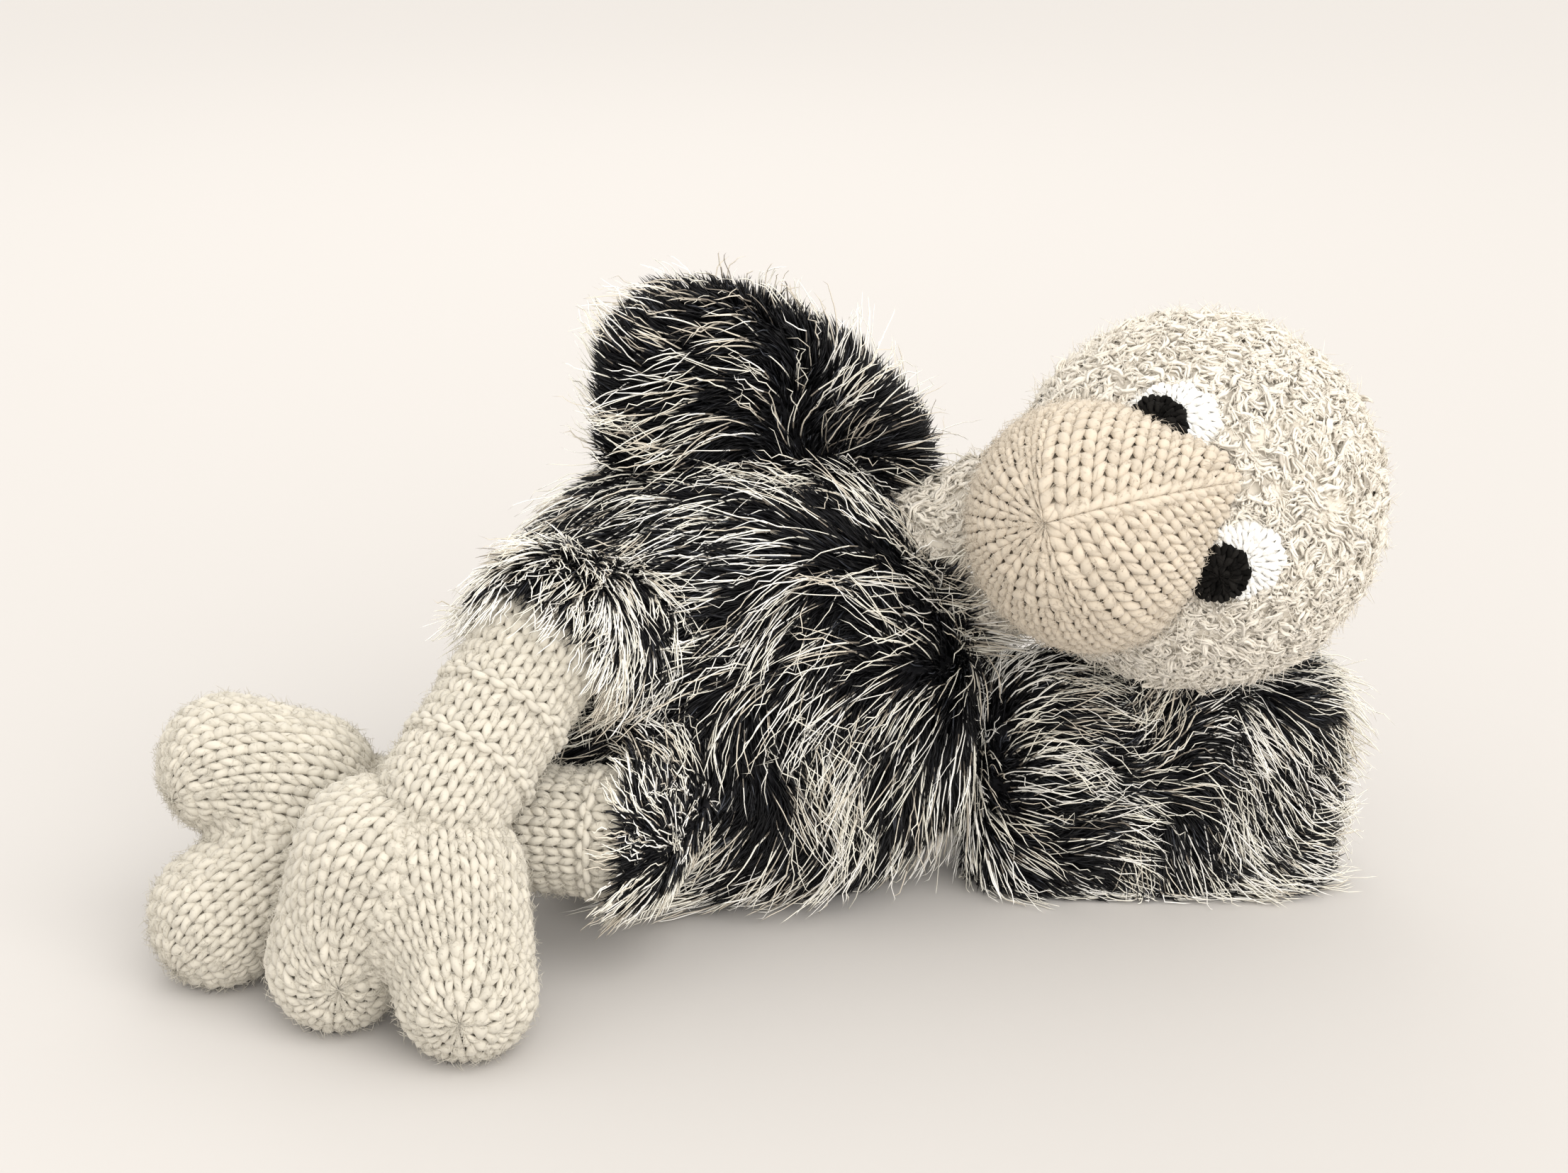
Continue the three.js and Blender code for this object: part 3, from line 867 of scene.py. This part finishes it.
def leg_ends(side):
    """The hip, the ankle, and the direction from the ankle to the hip."""
    hip, ankle = np.array(LEGS[side]["hip"], float), to_layout(JOINTS[f"{side}_ankle"]["pos_m"])
    return hip, ankle, unit(hip - ankle)


def make_leg(side, seed):
    leg, (hip, ankle, along) = LEGS[side], leg_ends(side)
    radius = leg["radius"]
    body, foot = f"{side}_leg", f"{side}_foot"
    tube = leg_fabric(hip, ankle, along, radius - 0.3)
    ground = tube.ground(f"leg_{side}_ground", LEG_SHADED_GROUND, 0.9)
    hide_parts(f"leg_cover_{side}", f"leg_filling_{side}")
    ridges = [radius * np.pi / 2 + ridge for ridge in leg["ridges"]]  # measured from the round end's pole
    stitches, places = knit(f"leg_{side}_stitches", tube, LEG_YARN, seed, ridges=ridges)
    hairs = fuzz(f"leg_{side}_fuzz", tube, places, LEG_YARN, seed + 1)
    for piece in (ground, stitches, *hairs):
        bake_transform(piece)
    toe_at, skin = foot_skin(leg)
    for i, shape in enumerate(zip(leg["insteps"], leg["toes"], leg["gathers"])):
        instep, toe, gather = (np.array(place, float) for place in shape)
        fabric = toe_fabric(instep, toe, lambda at, i=i: toe_at(at, i), skin, gather, ankle)

        def clear(at, i=i):
            """True where a stitch isn't buried in the other toe or in the leg."""
            from_leg = far_from_tube(at, ankle, hip, radius, radius)
            return (toe_at(at, 1 - i) - toe_at(at, i) > -2.4) & (from_leg > -2.0)

        toe_ground = fabric.ground(f"toe_{side}_{i + 1}_ground", LEG_SHADED_GROUND, 0.9)
        if i == 0:
            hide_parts(f"foot_cover_{side}", f"foot_filling_{side}")
        stitches, places = knit(f"toe_{side}_{i + 1}_stitches", fabric, LEG_YARN, seed + 3 + i, keep=clear)
        hairs = fuzz(f"toe_{side}_{i + 1}_fuzz", fabric, places, LEG_YARN, seed + 5 + i)
        for piece in (toe_ground, stitches, *hairs):
            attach(piece, foot)


# ---- body and wings
def pillow(name, node, voxel, smoothing, swell):
    """A soft form of a CAD cover: its outline without its edges, filled out again as far as it shrank."""
    cover = frame["nodes"][node]
    shape = bmesh.new()
    for vertex in cover.data.vertices:
        shape.verts.new(vertex.co)
    hull = bmesh.ops.convex_hull(shape, input=shape.verts)
    inner = {v for v in hull["geom_interior"] + hull["geom_unused"] if isinstance(v, bmesh.types.BMVert)}
    bmesh.ops.delete(shape, geom=list(inner), context="VERTS")
    mesh = bpy.data.meshes.new(name)
    shape.to_mesh(mesh)
    shape.free()
    made = linked(name, mesh)
    bpy.context.view_layer.objects.active = made
    made.select_set(True)
    remesh = made.modifiers.new("remesh", "REMESH")
    remesh.mode, remesh.voxel_size = "VOXEL", voxel / 1000
    bpy.ops.object.modifier_apply(modifier="remesh")
    smooth = made.modifiers.new("smooth", "SMOOTH")
    smooth.factor, smooth.iterations = 0.5, smoothing
    bpy.ops.object.modifier_apply(modifier="smooth")
    made.select_set(False)
    shape = bmesh.new()
    shape.from_mesh(made.data)
    bmesh.ops.triangulate(shape, faces=shape.faces)
    shape.normal_update()
    for vertex in shape.verts:
        vertex.co += vertex.normal * (swell / 1000)
        vertex.co.z = max(vertex.co.z, 0.0005)  # clear of the floor
    shape.to_mesh(made.data)
    shape.free()
    made.data.polygons.foreach_set("use_smooth", np.ones(len(made.data.polygons), bool))
    made.data.materials.append(FUR_GROUND)
    made.data.update()
    return made


def fetched(items, what, kind=float):
    values = np.zeros(len(items) * 3, kind)
    items.foreach_get(what, values)
    return values.reshape(-1, 3)


def scatter(piece, density, rng):
    """Points on a mesh and their normals, in layout millimetres, so many to a square millimetre."""
    mesh = piece.data
    mesh.calc_loop_triangles()
    corners = fetched(mesh.loop_triangles, "vertices", np.int32)
    points, normals = to_layout(fetched(mesh.vertices, "co")), fetched(mesh.vertices, "normal")
    a, b, c = (points[corners[:, i]] for i in range(3))
    area = norm(np.cross(b - a, c - a), axis=1) / 2
    n = int(area.sum() * density)
    pick = rng.choice(len(area), n, p=area / area.sum())
    r, s = rng.uniform(size=(2, n, 1))
    over = r + s > 1
    r, s = np.where(over, 1 - r, r), np.where(over, 1 - s, s)
    spot = a[pick] + r * (b - a)[pick] + s * (c - a)[pick]
    out = [normals[corners[pick, i]] for i in range(3)]
    return spot, unit(out[0] * (1 - r - s) + out[1] * r + out[2] * s)


def body_flow(at):
    """The way the fur lies: round and out from the whorl on the chest, and towards the tail elsewhere."""
    off = at - SWIRL
    far = norm(off[:, [0, 2]], axis=1)
    radial = unit(off * [1, 0, 1])
    round_about = np.stack([-radial[:, 2], np.zeros(len(at)), radial[:, 0]], axis=1)
    whorl = 0.62 * radial + 0.78 * round_about
    tailward = np.array([-0.93, 0.0, -0.28])
    near = 0.5 * np.exp(-(far / 46) ** 2) * np.clip((8 - at[:, 1]) / 30, 0, 1)
    return whorl * near[:, None] + tailward * (1 - near)[:, None]


def right_wing_flow(at):
    return unit(at - np.array([14, 6, 100])) * [1, 0.4, 1] + np.array([-0.25, 0, 0.1])


def left_wing_flow(at):
    out = unit(at - np.array([88, -8, 30]))
    return out * [0.7, 0.3, 0.45] + np.array([0.75, 0, -0.05])


def fur(name, ground, flow, seed, lengths, lifts, densities, pale_tones):
    """Short black undercoat, and long pale strands over it in locks. Each pair is one value for each coat."""
    rng = np.random.default_rng(seed)
    pieces = []
    for coat in (0, 1):
        root, normal = scatter(ground, densities[coat], rng)
        if coat == 1:  # the pale strands come in patches, with black between them
            some = noise3(root / 9, seed + 7) + rng.normal(0, 0.3, len(root)) > -0.45
            root, normal = root[some], normal[some]
        n = len(root)
        lie = flow(root)
        lie = lie - np.sum(lie * normal, axis=1, keepdims=True) * normal
        lie = unit(lie + 1e-3)
        wander = 1.25 * noise3(root / 21, seed) + 0.6 * noise3(root / 9, seed + 1) + rng.normal(0, 0.2, n)
        side = np.cross(normal, lie)
        lie = np.cos(wander)[:, None] * lie + np.sin(wander)[:, None] * side
        length = lengths[coat] * rng.uniform(0.6, 1.15, n) * (1 + 0.25 * noise3(root / 12, seed + 2))
        lift = (lifts[coat][0] + rng.normal(0, 0.14, n), lifts[coat][1] + rng.normal(0, 0.16, n))
        steps = (3, 8)[coat]
        curl = 0.9 * noise3(root / 20, seed + 3) + rng.normal(0, (0.3, 0.5)[coat], n)
        lines = grow(root - normal * 0.4, normal, lie, length, lift, curl, steps, sag=(0, 0.25)[coat])
        lines, group = gather_tips(lines, rng, (5.0, 9.0)[coat], (0.4, 0.6)[coat])
        lines[..., 2] = np.maximum(lines[..., 2], rng.uniform(0.4, 3.5, (n, 1)))  # heaped up on the floor
        for axis, limit in ((1, FUR_BACK), (2, FUR_TOP)):
            lines[..., axis] -= FLATTENED * np.maximum(lines[..., axis] - limit, 0)
        taper = np.linspace(1, 0.35, steps + 1) ** 0.8
        thick = (rng.uniform(0.24, 0.40, n), rng.uniform(0.17, 0.31, n))[coat]
        radius = thick[:, None] * taper[None]
        if coat == 0:
            # the third tone, one strand in twenty, is the painted glint
            tone = rng.choice(3, n, p=[0.72, 0.23, 0.05])
            pieces += strand_pieces(f"{name}_undercoat", lines, radius, FUR_BLACK,
                                    lambda ring, strand: tone[strand])
        else:
            lock = rng.normal(0, 0.6, group.max() + 1)[group]
            tone = np.clip(np.round(pale_tones + lock + rng.normal(0, 0.55, n)), 1, 4).astype(int)
            dark_rings = rng.integers(0, 4, n)

            def dark_at_root(ring, strand):
                dark = dark_rings[strand]
                return np.where(ring < dark, 0, np.where(ring == dark, 1, tone[strand]))

            pieces += strand_pieces(f"{name}_strands", lines, radius, FUR_PALE, dark_at_root)
    return pieces


def make_hip_fur(side, seed):
    """The body's cover carried over the top of a leg: a cap round the hip."""
    leg, (hip, _, along) = LEGS[side], leg_ends(side)
    shape = bmesh.new()
    bmesh.ops.create_icosphere(shape, subdivisions=4, radius=1)
    below = [v for v in shape.verts if np.array(v.co) @ along < leg["cap"]]
    bmesh.ops.delete(shape, geom=below, context="VERTS")
    bmesh.ops.triangulate(shape, faces=shape.faces)
    points, faces = arrays_of(shape)
    radius = leg["radius"] + OVER_LEG
    ball = hip + points * radius
    # A sleeve of the same width runs from the cap into the body.
    columns, rows = 32, 9
    inwards = unit(BODY_CORE - hip)
    run = np.linspace(0, 0.55 * norm(BODY_CORE - hip), rows)
    ring = ring_across(inwards, full_turn(columns))
    sleeve = (hip + ring[:, None] * radius + run[None, :, None] * inwards).reshape(-1, 3)
    keep = (sleeve - hip) @ along > leg["cap"] * radius - 0.5
    a, b, c, d = (corner.ravel() for corner in grid_corners(columns, rows, columns))
    whole = keep[a] & keep[b] & keep[c] & keep[d]
    halves = [np.stack(half, axis=-1)[whole] + len(ball) for half in ((a, b, c), (a, c, d))]
    ground = welded(mesh_object(f"hip_{side}_ground", np.concatenate([ball, sleeve]),
                                np.concatenate([faces, *halves]), [FUR_GROUND]))

    def down_the_leg(at):
        return unit(hip + along * 6 - at) * -0.5 - along * 0.75 + np.array([-0.25, -0.1, -0.1])

    for piece in (ground, *fur(f"hip_{side}", ground, down_the_leg, seed, lengths=leg["coat"],
                               lifts=((0.7, 0.15), (0.5, 0.0)), densities=(1.3, 0.45), pale_tones=3.2)):
        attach(piece, "body")


def make_collar():
    """Fur of the body that lies over the foot of the neck."""
    along = unit(HEAD_AT - NECK_AT)
    columns, rows = 48, 6
    ring = ring_across(along, np.linspace(0, TAU, columns + 1))
    run = np.linspace(-9, 5, rows)
    points = (NECK_AT + ring[:, None] * (NECK_R + 1.0) + run[None, :, None] * along).reshape(-1, 3)
    faces = np.stack(grid_corners(columns, rows, columns + 1), axis=-1).reshape(-1, 4)
    faces = faces[(points[faces].mean(axis=1) - NECK_AT)[:, 2] < 5]  # its lower part only
    ground = welded(mesh_object("collar_ground", points, faces, [FUR_GROUND]))

    def over_the_neck(at):
        return np.broadcast_to(along, at.shape) + 0.25 * unit(at - NECK_AT)

    for piece in (ground, *fur("collar", ground, over_the_neck, 241, lengths=(8.0, 20.0),
                               lifts=((0.8, 0.3), (0.6, 0.05)), densities=(1.2, 0.35), pale_tones=3.0)):
        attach(piece, "body")


def make_furry(name, body, ground, nodes, flow, seed, **coat):
    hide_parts(*nodes)
    for piece in (ground, *fur(name, ground, flow, seed, **coat)):
        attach(piece, body)


# ---- stage
DAYLIGHT, LAMPLIGHT = (1.0, 0.975, 0.94), (1.0, 0.98, 0.95)


def look_at(thing, target):
    thing.rotation_mode = "QUATERNION"
    thing.rotation_quaternion = (Vector(target) - thing.location).to_track_quat("-Z", "Y")


def light(kind, name, at, size, power, colour, target):
    """A sun of an angular size in radians, or a disc of a size in metres."""
    data = bpy.data.lights.new(name, kind)
    data.energy, data.color = power, colour
    if kind == "SUN":
        data.angle = size
    else:
        data.shape, data.size = "DISK", size
    made = linked(name, data)
    made.location = at
    look_at(made, target)


def make_stage():
    scene = bpy.context.scene
    target = Vector(to_row([12, 0, 76.1]))
    pitch, far = np.radians(20), 0.717  # the camera looks down from the front
    camera = linked("camera", bpy.data.cameras.new("camera"))
    camera.data.lens, camera.data.sensor_width = 64.8, 36
    camera.data.clip_start, camera.data.clip_end = 0.01, 50
    camera.location = target + Vector((0, -np.cos(pitch) * far, np.sin(pitch) * far))
    look_at(camera, target)
    scene.camera = camera
    bpy.ops.mesh.primitive_plane_add(size=12, location=(0, 0, 0))
    floor = bpy.context.object
    floor.name = "floor"
    floor.data.materials.append(material("floor_paper", (0.535, 0.516, 0.498), 0.9))
    world = bpy.data.worlds.new("world")
    world.use_nodes = True
    set_inputs(world.node_tree.nodes["Background"], {"Color": (*DAYLIGHT, 1), "Strength": 1.25})
    scene.world = world
    light("SUN", "key", (0.62, -0.72, 0.98), 1.0, 1.8, DAYLIGHT, target)
    light("AREA", "front", (0.1, -1.5, 0.6), 1.1, 6.5, LAMPLIGHT, target)
    light("AREA", "back", (-0.1, 0.95, 0.8), 0.7, 1.5, LAMPLIGHT, target)
    scene.view_settings.view_transform = "Standard"


make_stage()
make_beak()
make_head()
make_neck()
make_eyes()
make_leg("right", 61)
make_leg("left", 81)
make_furry("body", "body", pillow("body_ground", "body_cover", 2.5, 4, 0.3), ("body_cover", "body_filling"),
           body_flow, 101, lengths=(11.0, 27.0), lifts=((0.85, 0.3), (0.62, 0.0)), densities=(0.85, 0.155),
           pale_tones=3.2)
make_furry("wing_right", "right_wing", pillow("wing_right_ground", "wing_cover_right", 2.0, 10, 1.4),
           ("wing_cover_right", "wing_filling_right"), right_wing_flow, 131, lengths=(10.5, 22.0),
           lifts=((1.0, 0.6), (0.9, 0.3)), densities=(1.0, 0.155), pale_tones=3.0)
make_furry("wing_left", "left_wing", pillow("wing_left_ground", "wing_cover_left", 2.0, 30, 2.2),
           ("wing_cover_left", "wing_filling_left"), left_wing_flow, 161, lengths=(10.0, 22.0),
           lifts=((0.8, 0.35), (0.6, 0.0)), densities=(0.9, 0.30), pale_tones=3.3)
make_hip_fur("right", 191)
make_hip_fur("left", 211)
make_collar()
